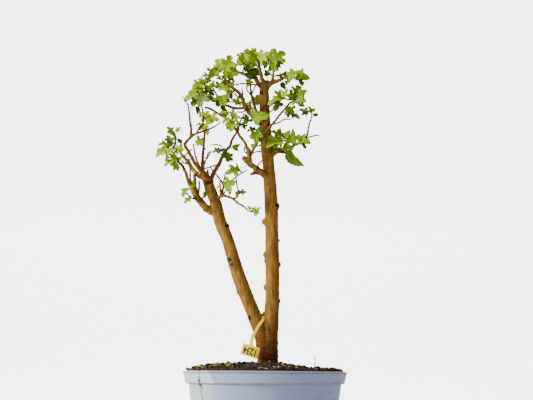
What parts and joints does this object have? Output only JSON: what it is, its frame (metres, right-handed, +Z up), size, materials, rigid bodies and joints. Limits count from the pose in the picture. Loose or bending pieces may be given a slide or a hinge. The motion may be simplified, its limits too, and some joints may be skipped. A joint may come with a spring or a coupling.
{
  "type": "potted bonsai tree",
  "caption": "Young bonsai tree with two leaning trunks and small lobed leaves, growing in a round tapered plastic nursery pot with a looped yellow tag.",
  "frame": {"origin": "centre of the pot's flat underside, on the pot's axis", "axes": "+Z up along the pot and the tree, -Y towards the viewer of the picture, +X to the right in it"},
  "size_m": [0.2809, 0.239, 0.69],
  "materials": {
    "dry_stalk": "dry, pale straw",
    "leaf": "soft sheen, bright yellow-green leaf",
    "leaf_shade": "soft sheen, darker green leaf",
    "dry_leaf": "shrivelled, almost black leaf",
    "pot": "moulded light grey-blue plastic, scuffed and dusty",
    "soil": "damp, dark brown, granular",
    "tag": "smooth bright yellow plastic",
    "bark": "rough bark, olive tan, reddish brown at the base"
  },
  "bodies": {
    "root": {"dry_stalk": "dry_stalk", "leaves_arc_high": "leaf", "leaves_arc_low": "leaf", "leaves_arc_mid": "leaf", "leaves_branch_leaf": "leaf_shade", "leaves_branch_low": "leaf", "leaves_branch_top": "leaf", "leaves_bright_mid": "leaf", "leaves_centre_back": "leaf", "leaves_crown_back": "leaf", "leaves_crown_left": "leaf", "leaves_crown_low": "leaf_shade", "leaves_crown_mid": "leaf", "leaves_crown_right": "leaf", "leaves_dark_bud": "leaf", "leaves_dark_mid": "leaf_shade", "leaves_drooping_leaf": "leaf_shade", "leaves_dry_leaf": "dry_leaf", "leaves_high_left": "leaf", "leaves_high_mid": "leaf", "leaves_left_low": "leaf", "leaves_left_mid": "leaf", "leaves_left_top": "leaf", "leaves_low_a": "leaf", "leaves_low_b": "leaf", "leaves_low_c": "leaf", "leaves_low_d": "leaf", "leaves_pale_top": "leaf", "leaves_peak_left": "leaf", "leaves_right_a": "leaf", "leaves_right_b": "leaf", "leaves_right_c": "leaf", "leaves_right_d": "leaf", "leaves_right_dark": "leaf_shade", "leaves_right_end": "leaf", "leaves_right_high": "leaf", "leaves_riser_high": "leaf", "leaves_riser_low": "leaf", "leaves_side_low": "leaf_shade", "leaves_star_leaf": "leaf", "leaves_stub_leaf": "leaf", "leaves_top_left_low": "leaf", "leaves_top_right_a": "leaf_shade", "leaves_top_right_b": "leaf", "leaves_top_right_c": "leaf_shade", "leaves_trunk_front": "leaf", "leaves_trunk_left": "leaf", "leaves_tuft": "leaf_shade", "leaves_twig_small": "leaf", "leaves_upright_leaf": "leaf", "pot": "pot", "soil": "soil", "tag": "tag", "wood": "bark"}
  },
  "joints": []
}
